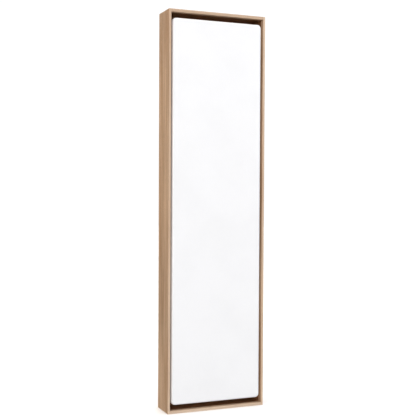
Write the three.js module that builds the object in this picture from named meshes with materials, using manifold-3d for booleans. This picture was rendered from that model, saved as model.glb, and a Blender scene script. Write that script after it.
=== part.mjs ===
// A stretched canvas, 12 by 48 inches and 3 inches deep, floating in an L-section wooden frame.
// Millimetres, +Z up. The front looks along -Y. The origin is the middle of the frame's bottom face.
import * as THREE from "three";
import { mergeVertices } from "three/addons/utils/BufferGeometryUtils.js";
import Module from "manifold-3d";

const wasm = await Module();
wasm.setup();

// ---- driving dimensions ----
const CANVAS_WIDTH = 304.8;
const CANVAS_HEIGHT = 1219.2;
const CANVAS_DEPTH = 76.2;
// The two stiles are the frame's upright sides, and the two rails its top and bottom.
const FACE = { stile: 7, rail: 9 }; // thickness of the outer wall, seen from the front
const GAP = { stile: 6.35, rail: 17.5 }; // shadow gap between that wall and the canvas
const LEDGE_OVERLAP = 19.5; // width of the frame's back ledge behind the canvas
const LEDGE_DEPTH = 18;
const SETBACK = 1.5; // the canvas face lies this far behind the frame's front edge
const FIT = 0.3; // clearance between pieces that rest on each other
const SEAM = 0.15; // clearance at a glued joint

const CLOTH = 0.8;
const CLOTH_EDGE = 3; // radius where the cloth turns from the face to the sides
const CLOTH_BACK_EDGE = 1;
const CORNER_RADIUS = 12; // of the canvas's four corners, seen from the front
const FLAP = 32; // cloth turned over onto the back of the stretcher bars

const BAR_WIDTH = 38;
const BEAD = { width: 6, height: 4 }; // raised bead that lifts the cloth off the bar's face
const BAR_EASE = 1.9; // chamfer on the bar's outer front edge

const TONGUE_Y = [-24, -14]; // depth range of the tongues in the stretcher's corners
const TONGUE_MARGIN = 5; // wood left outside a tongue's slot
const TONGUE_ROOT = 12;

const KEY_THICK = 4.5;
const KEY_REACH = { inside: 14, outside: 16 }; // length in its slot and length that shows
const KEY_WIDTH = { tip: 11, end: 18 };
const KEY_LEVELS = [15.5, 7.5]; // depth of the keys' middle planes at a bar's two ends
const KEY_PLAY = 0.4;

const BRACE = { halfHeight: 19, y: [2, 22] };
const TENON = { length: 10, halfHeight: 12, y: [7, 17] };

const SCREW = { shank: 1.9, head: 4, length: 35, point: 5, sunk: 0.2 };
const SCREW_FROM_EDGE = 10; // from the canvas's edge to a screw's axis
const STILE_SCREWS = [-440, 0, 440]; // heights from the frame's middle

const FASTENER = { halfWidth: 11, wave: 1.1, halfThick: 0.45, depth: 10, folds: 8 };
const FASTENER_PLAY = 0.2;
const FASTENER_FROM_END = [12, 34]; // from the frame's top or bottom

const HANGER_INSET = 16; // from the frame's outer face
const HANGER_DROP = 300; // from the frame's top to the ring's pivot
const STRAP = { width: 11, length: 32, thick: 1.6, eye: 2.9, gap: 0.2 };
const RING = { halfWidth: 9, straight: 6, bend: 2, wire: 1.2 };
const STRAP_SCREW_DROP = 23; // below the pivot
const STRAP_SCREW = { head: 3.4, headHeight: 2, dome: 2, shank: 1.7, length: 13, point: 3 };

const BUMPER = { radius: 6, thick: 6, ease: 1, inset: 17, height: 22 };

// Facets: whole turns for screw, bumper and wire, and one bend or quarter turn for the others.
const SIDES_OF_ROUND = { screw: 12, bumper: 24, wire: 8, bend: 7, corner: 6, eye: 8, edge: 3 };
const CUT_THROUGH = 5; // how far a cutting shape runs past the face it opens
const SAME_POINT = 1e-4;

// ---- dimensions that follow ----
const HALF_W = CANVAS_WIDTH / 2 + GAP.stile + FACE.stile;
const HALF_H = CANVAS_HEIGHT / 2 + GAP.rail + FACE.rail;
const FRAME_DEPTH = SETBACK + CANVAS_DEPTH + FIT + LEDGE_DEPTH;
const FRONT = -FRAME_DEPTH / 2;
const BACK = FRAME_DEPTH / 2;
const LEDGE_FRONT = BACK - LEDGE_DEPTH;
const LEDGE = {
  stile: FACE.stile + GAP.stile + LEDGE_OVERLAP,
  rail: FACE.rail + GAP.rail + LEDGE_OVERLAP,
};
const SHEET_FRONT = FRONT + SETBACK;
const SHEET_BACK = LEDGE_FRONT - FIT;
const BAR_INSET = CLOTH + FIT; // from the cloth's outer face to the bar's
const BAR_FRONT = SHEET_FRONT + BAR_INSET;
const BAR_BACK = SHEET_BACK - BAR_INSET;
const STRAP_BACK = BACK + STRAP.gap; // the strap's face that lies against the frame
const PIVOT_Y = STRAP_BACK + STRAP.eye;

// The four sides are each drawn as the left one and turned a quarter turn about the depth axis.
const SIDES = ["left", "top", "right", "bottom"];
const kindOf = (side) => (side % 2 === 0 ? "stile" : "rail");
const halfFrame = (side) => (kindOf(side) === "stile" ? HALF_W : HALF_H);
const halfBar = (side) => (kindOf(side) === "stile" ? CANVAS_WIDTH : CANVAS_HEIGHT) / 2 - BAR_INSET;
const turn = (geometry, side) => geometry.rotateY((side * Math.PI) / 2);

const SCREW_X = CANVAS_WIDTH / 2 - SCREW_FROM_EDGE;
const SCREW_Z = CANVAS_HEIGHT / 2 - SCREW_FROM_EDGE;
const SCREW_SPOTS = [
  ...STILE_SCREWS.map((z, i) => ({ name: `left_${i + 1}`, x: -SCREW_X, z })),
  ...STILE_SCREWS.map((z, i) => ({ name: `right_${i + 1}`, x: SCREW_X, z })),
  { name: "top", x: 0, z: SCREW_Z },
  { name: "bottom", x: 0, z: -SCREW_Z },
];

const FASTENER_SPOTS = ["top", "bottom"].flatMap((endName) =>
  ["left", "right"].flatMap((sideName) =>
    FASTENER_FROM_END.map((offset, i) => ({
      name: `${endName}_${sideName}_${i + 1}`,
      x: (sideName === "left" ? -1 : 1) * (HALF_W - LEDGE.stile),
      z: (endName === "top" ? 1 : -1) * (HALF_H - offset),
    })),
  ),
);

const HANGER_SPOTS = [
  { name: "left", x: HANGER_INSET - HALF_W, z: HALF_H - HANGER_DROP },
  { name: "right", x: HALF_W - HANGER_INSET, z: HALF_H - HANGER_DROP },
];

// ---- materials ----
const finish = (color, roughness, metalness = 0) =>
  new THREE.MeshStandardMaterial({ color, roughness, metalness });
const OAK = finish(0xb8936c, 0.6);
const PINE = finish(0xdcc59c, 0.7);
const PLY = finish(0xc9a877, 0.75);
const COTTON = finish(0xf4f4f3, 0.9);
const ZINC = finish(0xb9bcc0, 0.35, 1);
const RUBBER = finish(0x2b2b2d, 0.85);

// ---- solids ----
function solidOf(geometry) {
  const bare = geometry.clone();
  bare.deleteAttribute("normal");
  bare.deleteAttribute("uv");
  const merged = mergeVertices(bare, SAME_POINT);
  return new wasm.Manifold(
    new wasm.Mesh({
      numProp: 3,
      vertProperties: merged.attributes.position.array,
      triVerts: new Uint32Array(merged.index.array),
    }),
  );
}

function geometryOf(solid) {
  const mesh = solid.getMesh();
  const geometry = new THREE.BufferGeometry();
  geometry.setAttribute("position", new THREE.BufferAttribute(mesh.vertProperties, 3));
  geometry.setIndex(new THREE.BufferAttribute(mesh.triVerts, 1));
  const flat = geometry.toNonIndexed();
  flat.computeVertexNormals();
  return flat;
}

const combine = (action) => (geometry, others) =>
  geometryOf(others.reduce((solid, other) => solid[action](solidOf(other)), solidOf(geometry)));
const cut = combine("subtract");
const join = combine("add");
const keepInside = combine("intersect");

// A box given by its lowest and highest corners.
function box([x0, y0, z0], [x1, y1, z1]) {
  const geometry = new THREE.BoxGeometry(x1 - x0, y1 - y0, z1 - z0);
  return geometry.translate((x0 + x1) / 2, (y0 + y1) / 2, (z0 + z1) / 2);
}

// An outline of [x, z] points, anticlockwise seen from the front, made thick from y0 to y1.
function plate(points, y0, y1) {
  const shape = new THREE.Shape(points.map(([x, z]) => new THREE.Vector2(x, z)));
  const geometry = new THREE.ExtrudeGeometry(shape, { depth: y1 - y0, bevelEnabled: false });
  return geometry.rotateX(Math.PI / 2).translate(0, y1, 0);
}

// A stick along Z with a section of [x, depth] points, anticlockwise seen from above.
function stick(section, halfLength) {
  const shape = new THREE.Shape(section.map(([x, y]) => new THREE.Vector2(x, y)));
  const geometry = new THREE.ExtrudeGeometry(shape, { depth: 2 * halfLength, bevelEnabled: false });
  return geometry.translate(0, 0, -halfLength);
}

// The same stick with both ends mitred, longest along x = 0.
function mitredStick(section, halfLength) {
  const geometry = stick(section, 1);
  const place = geometry.attributes.position;
  for (let i = 0; i < place.count; i++) {
    place.setZ(i, place.getZ(i) * (halfLength - SEAM - place.getX(i)));
  }
  return geometry;
}

// A turned piece whose axis is Y: the profile holds [radius, depth] points, from front to back.
function turned(profile, segments) {
  const points = profile.map(([radius, y]) => new THREE.Vector2(radius, y));
  return new THREE.LatheGeometry(points, segments);
}

// The canvas's outline, as [x, z] points, drawn in by an inset.
function canvasOutline(inset) {
  const radius = Math.max(CORNER_RADIUS - inset, FIT);
  const x = CANVAS_WIDTH / 2 - inset - radius;
  const z = CANVAS_HEIGHT / 2 - inset - radius;
  const centres = [[x, z], [-x, z], [-x, -z], [x, -z]];
  return centres.flatMap(([cx, cz], corner) =>
    Array.from({ length: SIDES_OF_ROUND.corner + 1 }, (_, i) => {
      const angle = ((corner + i / SIDES_OF_ROUND.corner) * Math.PI) / 2;
      return [cx + radius * Math.cos(angle), cz + radius * Math.sin(angle)];
    }),
  );
}

// A quarter of a round edge about the point [inset, y], as [inset, depth] points.
function edgeRound(radius, inset, y, from, to) {
  return Array.from({ length: SIDES_OF_ROUND.edge + 1 }, (_, i) => {
    const angle = from + ((to - from) * i) / SIDES_OF_ROUND.edge;
    return [inset - radius * Math.cos(angle), y - radius * Math.sin(angle)];
  });
}

// ---- the wooden frame ----
function frameSection(side) {
  const kind = kindOf(side);
  const outer = -halfFrame(side);
  return [
    [outer, FRONT],
    [outer + FACE[kind], FRONT],
    [outer + FACE[kind], LEDGE_FRONT],
    [outer + LEDGE[kind], LEDGE_FRONT],
    [outer + LEDGE[kind], BACK],
    [outer, BACK],
  ];
}

function frameHoles() {
  return [
    ...SCREW_SPOTS.map((spot) => canvasScrewHole(spot)),
    ...FASTENER_SPOTS.map((spot) => cornerFastener(spot, FASTENER_PLAY)),
    ...HANGER_SPOTS.map((spot) => strapScrewHole(spot)),
  ];
}

function frameStile(side) {
  return cut(turn(stick(frameSection(side), HALF_H), side), frameHoles());
}

// A rail fits between the stiles: its wall reaches their walls, and its ledge reaches their ledges.
function frameRail(side) {
  const body = stick(frameSection(side), HALF_W - LEDGE.stile - SEAM);
  const reach = HALF_W - FACE.stile - SEAM;
  const wall = box([-HALF_H, FRONT, -reach], [FACE.rail - HALF_H, LEDGE_FRONT - SEAM, reach]);
  return cut(turn(join(body, [wall]), side), frameHoles());
}

// A corrugated steel strip driven in from the back, across the joint of a stile and a rail.
function cornerFastener({ x, z }, play) {
  const { halfWidth, wave, halfThick, depth, folds } = FASTENER;
  const fold = (i, lift) => {
    const reach = (halfWidth + play) * ((2 * i) / folds - 1);
    return [x + reach, z + (i % 2 === 0 ? wave : -wave) + lift];
  };
  const half = halfThick + 2 * play;
  const along = Array.from({ length: folds + 1 }, (_, i) => i);
  const lower = along.map((i) => fold(i, -half));
  const upper = along.map((i) => fold(i, half)).reverse();
  const back = BACK + (play > 0 ? CUT_THROUGH : 0);
  return plate([...lower, ...upper], BACK - depth - play, back);
}

// ---- the screws that hold the canvas in the frame ----
// A countersunk screw, driven from the back of the ledge into a stretcher bar.
function canvasScrew({ x, z }) {
  const back = BACK - SCREW.sunk;
  const tip = back - SCREW.length;
  const profile = [
    [0, tip],
    [SCREW.shank, tip + SCREW.point],
    [SCREW.shank, back - SCREW.head],
    [SCREW.head, back],
    [0, back],
  ];
  return turned(profile, SIDES_OF_ROUND.screw).translate(x, 0, z);
}

function canvasScrewHole({ x, z }) {
  const back = BACK - SCREW.sunk;
  const tip = back - SCREW.length;
  const profile = [
    [0, tip - FIT],
    [SCREW.shank + FIT, tip + SCREW.point - FIT],
    [SCREW.shank + FIT, back - SCREW.head - FIT],
    [SCREW.head + FIT, back - FIT],
    [SCREW.head + FIT, BACK + CUT_THROUGH],
    [0, BACK + CUT_THROUGH],
  ];
  return turned(profile, SIDES_OF_ROUND.screw).translate(x, 0, z);
}

// ---- the stretcher ----
function barSection() {
  const beadBack = BAR_FRONT + BEAD.height;
  return [
    [0, BAR_FRONT],
    [BEAD.width, BAR_FRONT],
    [BEAD.width + BEAD.height, beadBack],
    [BAR_WIDTH, beadBack],
    [BAR_WIDTH, BAR_BACK],
    [0, BAR_BACK],
  ];
}

// The whole stretcher's outer form, with rounded corners and a chamfered front edge.
function stretcherLimits() {
  return shell([
    [BAR_INSET + BAR_EASE, BAR_FRONT],
    [BAR_INSET, BAR_FRONT + BAR_EASE],
    [BAR_INSET, BAR_BACK],
  ]);
}

function stretcherBar(side) {
  const outer = -halfBar(side);
  const along = halfBar(side + 1);
  let bar = mitredStick(barSection(), along).translate(outer, 0, 0);
  if (kindOf(side) === "stile") bar = join(bar, [tongue(outer, along, 1), tongue(outer, along, -1)]);
  else bar = cut(bar, [tongueSlot(outer, along, 1), tongueSlot(outer, along, -1)]);
  const holes = [cornerKey(side, 1, KEY_PLAY), cornerKey(side, -1, KEY_PLAY)];
  holes.push(...SCREW_SPOTS.map((spot) => canvasScrewHole(spot)));
  holes.push(tenon(FIT), turn(tenon(FIT), 2));
  return cut(keepInside(turn(bar, side), [stretcherLimits()]), holes);
}

// The flat tongue at an upright bar's end, which fills a slot in the bar across that end.
function tongue(outer, along, end) {
  const z = [end * (along - BAR_WIDTH - TONGUE_ROOT), end * (along - TONGUE_MARGIN)];
  z.sort((a, b) => a - b);
  const low = [outer + TONGUE_MARGIN, TONGUE_Y[0], z[0]];
  return box(low, [outer + BAR_WIDTH - FIT, TONGUE_Y[1], z[1]]);
}

function tongueSlot(outer, along, end) {
  const z = [end * (along - BAR_WIDTH), end * (along - TONGUE_MARGIN + FIT)];
  z.sort((a, b) => a - b);
  const low = [outer + TONGUE_MARGIN - FIT, TONGUE_Y[0] - FIT, z[0]];
  return box(low, [outer + BAR_WIDTH + CUT_THROUGH, TONGUE_Y[1] + FIT, z[1]]);
}

// A tapered corner key, pushed into a bar's inner edge beside the corner, or its pocket with play.
function cornerKey(side, end, play) {
  const mouth = BAR_WIDTH - halfBar(side);
  const straight = halfBar(side + 1) - BAR_WIDTH - KEY_PLAY - SEAM;
  const tip = mouth - KEY_REACH.inside - play;
  const outside = mouth + KEY_REACH.outside;
  const points = [
    [tip, end * (straight + play)],
    [tip, end * (straight - KEY_WIDTH.tip - play)],
    [outside, end * (straight - KEY_WIDTH.end - play)],
    [outside, end * (straight + play)],
  ];
  if (end < 0) points.reverse();
  const level = KEY_LEVELS[end > 0 ? 0 : 1];
  const half = KEY_THICK / 2 + play;
  return turn(plate(points, level - half, level + half), side);
}

// The brace's stub tenon at its left end, or the mortise for it when it has play.
function tenon(play) {
  const shoulder = BAR_WIDTH - halfBar(0);
  return box(
    [shoulder - TENON.length - play, TENON.y[0] - play, -TENON.halfHeight - play],
    [shoulder + CUT_THROUGH, TENON.y[1] + play, TENON.halfHeight + play],
  );
}

function crossBrace() {
  const half = halfBar(0) - BAR_WIDTH - FIT;
  const low = [-half, BRACE.y[0], -BRACE.halfHeight];
  const body = box(low, [half, BRACE.y[1], BRACE.halfHeight]);
  return join(body, [tenon(0), turn(tenon(0), 2)]);
}

// ---- the cloth ----
// Its face, its four turned sides and the flaps on the back of the bars, as one thin shell.
function canvasSheet() {
  const front = SHEET_FRONT + CLOTH_EDGE;
  const back = SHEET_BACK - CLOTH_BACK_EDGE;
  const quarter = Math.PI / 2;
  const rings = [
    ...edgeRound(CLOTH_EDGE, CLOTH_EDGE, front, quarter, 0),
    ...edgeRound(CLOTH_BACK_EDGE, CLOTH_BACK_EDGE, back, 0, -quarter),
    [FLAP, SHEET_BACK],
    [FLAP, SHEET_BACK - CLOTH],
    [CLOTH_BACK_EDGE, SHEET_BACK - CLOTH],
    [CLOTH, back],
    ...edgeRound(CLOTH_EDGE - CLOTH, CLOTH_EDGE, front, 0, quarter),
  ];
  return cut(shell(rings), SCREW_SPOTS.map((spot) => canvasScrewHole(spot)));
}

// A closed surface through canvas outlines at the given [inset, depth] rings, capped at both ends.
function shell(rings) {
  const outlines = rings.map(([inset]) => canvasOutline(inset));
  const count = outlines[0].length;
  const place = outlines.flatMap((outline, i) => outline.flatMap(([x, z]) => [x, rings[i][1], z]));
  const faces = [];
  for (let ring = 0; ring + 1 < rings.length; ring++) {
    for (let i = 0; i < count; i++) {
      const here = ring * count + i;
      const next = ring * count + ((i + 1) % count);
      faces.push(here, here + count, next, next, here + count, next + count);
    }
  }
  const last = (rings.length - 1) * count;
  for (const [a, b, c] of capTriangles(outlines[0])) faces.push(a, b, c);
  for (const [a, b, c] of capTriangles(outlines.at(-1))) faces.push(last + a, last + c, last + b);
  return meshOf(place, faces);
}

function capTriangles(outline) {
  const points = outline.map(([x, z]) => new THREE.Vector2(x, z));
  return THREE.ShapeUtils.triangulateShape(points, []);
}

function meshOf(place, faces) {
  const geometry = new THREE.BufferGeometry();
  geometry.setAttribute("position", new THREE.Float32BufferAttribute(place, 3));
  geometry.setIndex(faces);
  geometry.computeVertexNormals();
  return geometry;
}

// ---- the hangers ----
// A steel plate rolled at its top into an eye. The eye's middle is at x = 0 and z = 0.
function hangerStrap() {
  const top = STRAP_BACK + STRAP.thick;
  const meet = -Math.acos((top - PIVOT_Y) / STRAP.eye);
  const outline = new THREE.Shape();
  outline.moveTo(STRAP_BACK, -STRAP.length);
  outline.lineTo(top, -STRAP.length);
  outline.absarc(PIVOT_Y, 0, STRAP.eye, meet, Math.PI, false);
  outline.closePath();
  const eye = new THREE.Path();
  eye.absarc(PIVOT_Y, 0, RING.wire + FIT, 0, Math.PI * 2, true);
  outline.holes.push(eye);
  const strap = new THREE.ExtrudeGeometry(outline, {
    depth: STRAP.width,
    bevelEnabled: false,
    curveSegments: SIDES_OF_ROUND.eye,
  });
  // The outline was drawn with its depth along X and its height along Y.
  const depthAxis = new THREE.Vector3(0, 1, 0);
  const heightAxis = new THREE.Vector3(0, 0, 1);
  const widthAxis = new THREE.Vector3(1, 0, 0);
  strap.applyMatrix4(new THREE.Matrix4().makeBasis(depthAxis, heightAxis, widthAxis));
  strap.translate(-STRAP.width / 2, 0, 0);
  return cut(strap, [strapScrewHole({ x: 0, z: 0 })]);
}

// A wire ring shaped like a D, hanging from its straight side. The straight side is at z = 0.
function hangerRing() {
  const { halfWidth, straight, bend, wire } = RING;
  const path = new THREE.Path();
  path.moveTo(bend - halfWidth, 0);
  path.absarc(halfWidth - bend, -bend, bend, Math.PI / 2, 0, true);
  path.absarc(0, -straight, halfWidth, 0, -Math.PI, true);
  path.absarc(bend - halfWidth, -bend, bend, Math.PI, Math.PI / 2, true);
  return closedWire(path.getPoints(SIDES_OF_ROUND.bend), wire).translate(0, PIVOT_Y, 0);
}

// A round wire bent along a closed, clockwise path of points in the plane of X and Z.
function closedWire(points, radius) {
  const path = points.filter((point, i) => i === 0 || point.distanceTo(points[i - 1]) > SEAM);
  if (path[0].distanceTo(path.at(-1)) < SEAM) path.pop();
  const sides = SIDES_OF_ROUND.wire;
  const place = [];
  const faces = [];
  path.forEach((point, i) => {
    const before = path.at(i - 1);
    const after = path[(i + 1) % path.length];
    const heading = after.clone().sub(before).normalize();
    for (let j = 0; j < sides; j++) {
      const angle = ((j + 0.5) * 2 * Math.PI) / sides;
      const reach = radius * Math.cos(angle);
      const rise = radius * Math.sin(angle);
      place.push(point.x + heading.y * reach, rise, point.y - heading.x * reach);
      const here = i * sides;
      const ahead = ((i + 1) % path.length) * sides;
      const next = (j + 1) % sides;
      faces.push(here + j, here + next, ahead + next, here + j, ahead + next, ahead + j);
    }
  });
  return meshOf(place, faces);
}

// A dome-headed screw through the strap, at x = 0 and z = 0 before it is put in place.
function strapScrew() {
  const { head, headHeight, dome, shank, length, point } = STRAP_SCREW;
  const seat = STRAP_BACK + STRAP.thick + STRAP.gap;
  const profile = [
    [0, seat - length],
    [shank, seat - length + point],
    [shank, seat],
    [head, seat],
    [head, seat + headHeight / 2],
    [dome, seat + headHeight],
    [0, seat + headHeight],
  ];
  return turned(profile, SIDES_OF_ROUND.screw).translate(0, 0, -STRAP_SCREW_DROP);
}

function strapScrewHole({ x, z }) {
  const { shank, length, point } = STRAP_SCREW;
  const tip = STRAP_BACK + STRAP.thick + STRAP.gap - length;
  const profile = [
    [0, tip - FIT],
    [shank + FIT, tip + point - FIT],
    [shank + FIT, BACK + CUT_THROUGH],
    [0, BACK + CUT_THROUGH],
  ];
  return turned(profile, SIDES_OF_ROUND.screw).translate(x, 0, z - STRAP_SCREW_DROP);
}

function wallBumper() {
  const { radius, thick, ease } = BUMPER;
  const seat = BACK + STRAP.gap;
  const profile = [
    [0, seat],
    [radius, seat],
    [radius, seat + thick - ease],
    [radius - ease, seat + thick],
    [0, seat + thick],
  ];
  return turned(profile, SIDES_OF_ROUND.bumper);
}

// ---- assembly ----
const assembly = new THREE.Group();
const centred = new THREE.Group(); // its origin is the middle of the canvas's height
centred.position.z = HALF_H;
assembly.add(centred);

function add(name, geometry, material, x = 0, z = 0) {
  const mesh = new THREE.Mesh(geometry, material);
  mesh.name = name;
  mesh.position.set(x, 0, z);
  centred.add(mesh);
}

SIDES.forEach((sideName, side) => {
  const kind = kindOf(side);
  const stickOf = { stile: frameStile, rail: frameRail };
  add(`frame_${kind}_${sideName}`, stickOf[kind](side), OAK);
  add(`stretcher_bar_${sideName}`, stretcherBar(side), PINE);
  const neighbours = [SIDES[(side + 1) % SIDES.length], SIDES.at(side - 1)];
  add(`corner_key_${sideName}_bar_${neighbours[0]}`, cornerKey(side, 1, 0), PLY);
  add(`corner_key_${sideName}_bar_${neighbours[1]}`, cornerKey(side, -1, 0), PLY);
});

add("cross_brace", crossBrace(), PINE);
add("canvas_sheet", canvasSheet(), COTTON);

for (const spot of SCREW_SPOTS) add(`canvas_screw_${spot.name}`, canvasScrew(spot), ZINC);
for (const spot of FASTENER_SPOTS) {
  add(`joint_fastener_${spot.name}`, cornerFastener(spot, 0), ZINC);
}

for (const { name, x, z } of HANGER_SPOTS) {
  add(`hanger_strap_${name}`, hangerStrap(), ZINC, x, z);
  add(`hanger_ring_${name}`, hangerRing(), ZINC, x, z);
  add(`hanger_screw_${name}`, strapScrew(), ZINC, x, z);
}

add("wall_bumper_left", wallBumper(), RUBBER, BUMPER.inset - HALF_W, BUMPER.height - HALF_H);
add("wall_bumper_right", wallBumper(), RUBBER, HALF_W - BUMPER.inset, BUMPER.height - HALF_H);

export default assembly;
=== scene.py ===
"""A deep stretched canvas floating in a wooden frame: its looks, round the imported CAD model, in metres."""

import math
import random

import bmesh
import bpy
from mathutils import Matrix, Vector, noise

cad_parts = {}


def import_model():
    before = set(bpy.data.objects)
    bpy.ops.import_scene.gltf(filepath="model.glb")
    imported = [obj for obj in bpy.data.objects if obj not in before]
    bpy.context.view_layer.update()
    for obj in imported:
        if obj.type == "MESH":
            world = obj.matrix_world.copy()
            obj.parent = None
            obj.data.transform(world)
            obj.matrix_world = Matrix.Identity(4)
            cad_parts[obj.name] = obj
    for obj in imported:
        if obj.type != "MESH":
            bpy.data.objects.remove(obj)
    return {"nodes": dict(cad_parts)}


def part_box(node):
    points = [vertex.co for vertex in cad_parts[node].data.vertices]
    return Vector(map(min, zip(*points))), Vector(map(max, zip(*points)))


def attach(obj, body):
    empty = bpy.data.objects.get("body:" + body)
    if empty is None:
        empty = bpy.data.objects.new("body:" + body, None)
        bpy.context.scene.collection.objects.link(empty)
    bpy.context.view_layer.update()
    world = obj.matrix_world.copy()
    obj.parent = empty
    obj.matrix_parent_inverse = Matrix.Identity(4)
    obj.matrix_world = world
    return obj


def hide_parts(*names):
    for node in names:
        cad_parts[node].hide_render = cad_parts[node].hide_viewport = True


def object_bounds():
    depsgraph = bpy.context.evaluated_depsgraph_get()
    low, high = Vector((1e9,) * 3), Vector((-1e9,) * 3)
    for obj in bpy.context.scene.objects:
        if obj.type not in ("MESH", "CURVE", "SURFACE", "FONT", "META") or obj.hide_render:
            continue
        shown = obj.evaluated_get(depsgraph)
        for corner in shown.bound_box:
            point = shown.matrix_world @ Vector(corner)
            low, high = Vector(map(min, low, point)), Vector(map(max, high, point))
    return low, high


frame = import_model()
cad_low, cad_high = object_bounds()

MM = 0.001
ROOT = "framed_canvas"
SIDES = ("left", "top", "right", "bottom")
HANDS = ("left", "right")

# ---- places, read from the frame ----
sheet_low, sheet_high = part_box("canvas_sheet")
stile_low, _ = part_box("frame_stile_left")
rail_low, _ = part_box("frame_rail_bottom")
SHEET_FRONT = sheet_low.y
SHEET_BACK = sheet_high.y
HALF_WIDTH = (sheet_high.x - sheet_low.x) / 2
HALF_HEIGHT = (sheet_high.z - sheet_low.z) / 2
MIDDLE = (sheet_high.z + sheet_low.z) / 2
FRAME_FRONT = stile_low.y
RAIL_WALL = 9 * MM
FIT = 0.3 * MM
# The channel round the canvas: its walls' inner faces, and the ledges' front faces.
CHANNEL = {"x": rail_low.x, "z": rail_low.z + RAIL_WALL, "ledge": SHEET_BACK + FIT}

# ---- the cloth ----
CLOTH = 0.7 * MM
LEAST_RADIUS = 0.4 * MM
THREAD_PITCH = 0.9 * MM
CORNER_RADIUS = 12 * MM
EDGE_RADIUS = 5 * MM
BACK_EDGE_RADIUS = 1 * MM
FLAP = 32 * MM
TUCK = {"rise": 0.9 * MM, "start": CORNER_RADIUS + 0.4 * MM, "fade": 3 * MM}
FOLD = {"from": 18.5 * MM, "to": 21.5 * MM}  # where the extra layer begins, in from the canvas's end
FRAY = 1.1 * MM
PUCKER = {"pitch": 60 * MM, "depth": 0.22 * MM}
FRONT_RINGS = [148, 135, 115, 90, 65, 45, 30, 20, 14, 10, 7.5, 6]  # millimetres in from the edge
STEPS = {"arc": 8, "short": 96, "long": 200, "edge": 6, "side": 20, "back_edge": 3, "flap": 9}

# ---- the fixings ----
STAPLE = {
    "crown": 10 * MM, "width": 1.2 * MM, "thick": 0.5 * MM, "leg": 6 * MM, "bend": 0.9 * MM,
    "inset": 26 * MM, "corner_inset": 27.5 * MM,
}
COUNTERSUNK = {"head": 4 * MM, "point": 5 * MM, "thread": 1.85 * MM, "neck": 1.3 * MM}
COUNTERSUNK_CROSS = {"reach": 1.55 * MM, "half_width": 0.45 * MM, "depth": 1.9 * MM}
PAN = {"height": 2 * MM, "rim": 0.5 * MM, "point": 3 * MM, "thread": 1.65 * MM, "neck": 1.2 * MM}
PAN_CROSS = {"reach": 1.5 * MM, "half_width": 0.42 * MM, "depth": 1.3 * MM}
STRAP = {"layer": 0.8 * MM, "gap": 0.02 * MM, "least_half_width": 1.2 * MM, "columns": 9}
RING = {"bend": 2 * MM, "straight": 6 * MM, "swell": 1.02}
FASTENER = {"amplitude": 1.1 * MM, "folds": 4, "thick": 0.9 * MM, "steps": 64}
BUMPER_EASE = 1.4 * MM

# ---- the wood ----
# Depth of bare wood behind the frame's front edge. The channel behind it is painted dark brown as painted
# shade.
LIP = 18 * MM
# Painted light: the share each side is drawn paler, the bottom rail because its front is lit brighter than
# the top's.
PAINTED_LIGHT_SHARE = {"left": 0.0, "top": 0.0, "right": 0.0, "bottom": 0.08}
EDGE_PAINTED_SHEEN = 0.22  # of the front edge: painted sheen, a paler tone standing in for the soft sheen the front faces catch

# ---- the studio ----
CAMERA = {
    "azimuth": 22.44, "distance": 2.727, "height": 0.7015,
    "turn": 22.48, "tilt": -1.38, "roll": 0.29,
    "lens": 71.76, "shift": (-0.0053, 0.0047),
}
LAMPS = {
    "overhead": {"energy": 2.6, "place": (0, -0.4, 4.0), "target": (0, 0, 0), "softness": 70},
    "key": {"energy": 1.82, "place": (-1.2, -3.0, 0.8), "target": (0, 0, 0.5), "softness": 30},
    "back_fill": {"energy": 1.6, "place": (1.2, 3.0, 1.4), "target": (0, 0, 0.5), "softness": 50},
}
HIGH_LEFT = {"energy": 15, "place": (-2.6, -0.1, 2.0), "target": (0, 0, 0.9), "size": 1.5}
FLOOR = {"radius": 14.0, "rings": 12, "columns": 64, "below": 0.2 * MM}
AMBIENT = {"front": 0.42, "back": 0.14, "left": 0.08, "below": 0.20}
BACKDROP = 1.05
WARM = (1.0, 0.86, 0.70, 1.0)
NEUTRAL = (0.98, 0.99, 1.0, 1.0)

rng = random.Random(12)


def srgb(red, green, blue):
    """A linear colour, with alpha, from sRGB values of 0 to 255."""
    def linear(value):
        share = value / 255
        return share / 12.92 if share <= 0.04045 else ((share + 0.055) / 1.055) ** 2.4
    return (linear(red), linear(green), linear(blue), 1.0)


# ---- materials ----
class Nodes:
    """A node tree being built. Each method adds nodes and gives back their output socket."""

    def __init__(self, tree):
        self.tree = tree

    def put(self, socket, value):
        if isinstance(value, bpy.types.NodeSocket):
            self.tree.links.new(value, socket)
        else:
            socket.default_value = value

    def node(self, kind, inputs, output=0, **settings):
        made = self.tree.nodes.new("ShaderNode" + kind)
        for key, value in settings.items():
            setattr(made, key, value)
        for key, value in inputs.items():
            self.put(made.inputs[key], value)
        return made.outputs[output]

    def math(self, operation, *values):
        return self.node("Math", dict(enumerate(values)), operation=operation)

    def vector(self, operation, *values):
        return self.node("VectorMath", dict(enumerate(values)), operation=operation)

    def length(self, value):
        return self.node("VectorMath", {0: value}, output="Value", operation="LENGTH")

    def split(self, value):
        made = self.tree.nodes.new("ShaderNodeSeparateXYZ")
        self.put(made.inputs[0], value)
        return made.outputs

    def join(self, x, y, z):
        return self.node("CombineXYZ", {0: x, 1: y, 2: z})

    def noise(self, place, scale, detail=2.0, roughness=0.5):
        inputs = {"Vector": place, "Scale": scale, "Detail": detail, "Roughness": roughness}
        return self.node("TexNoise", inputs)

    def steps(self, value, low, high, first=0.0, last=1.0):
        """Smoothly from first, where value is under low, to last, where it is over high."""
        inputs = {"Value": value, "From Min": low, "From Max": high, "To Min": first, "To Max": last}
        return self.node("MapRange", inputs, interpolation_type="SMOOTHSTEP")

    def mix(self, share, first, second):
        inputs = {0: share, 6: first, 7: second}
        return self.node("Mix", inputs, output=2, data_type="RGBA")


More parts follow.
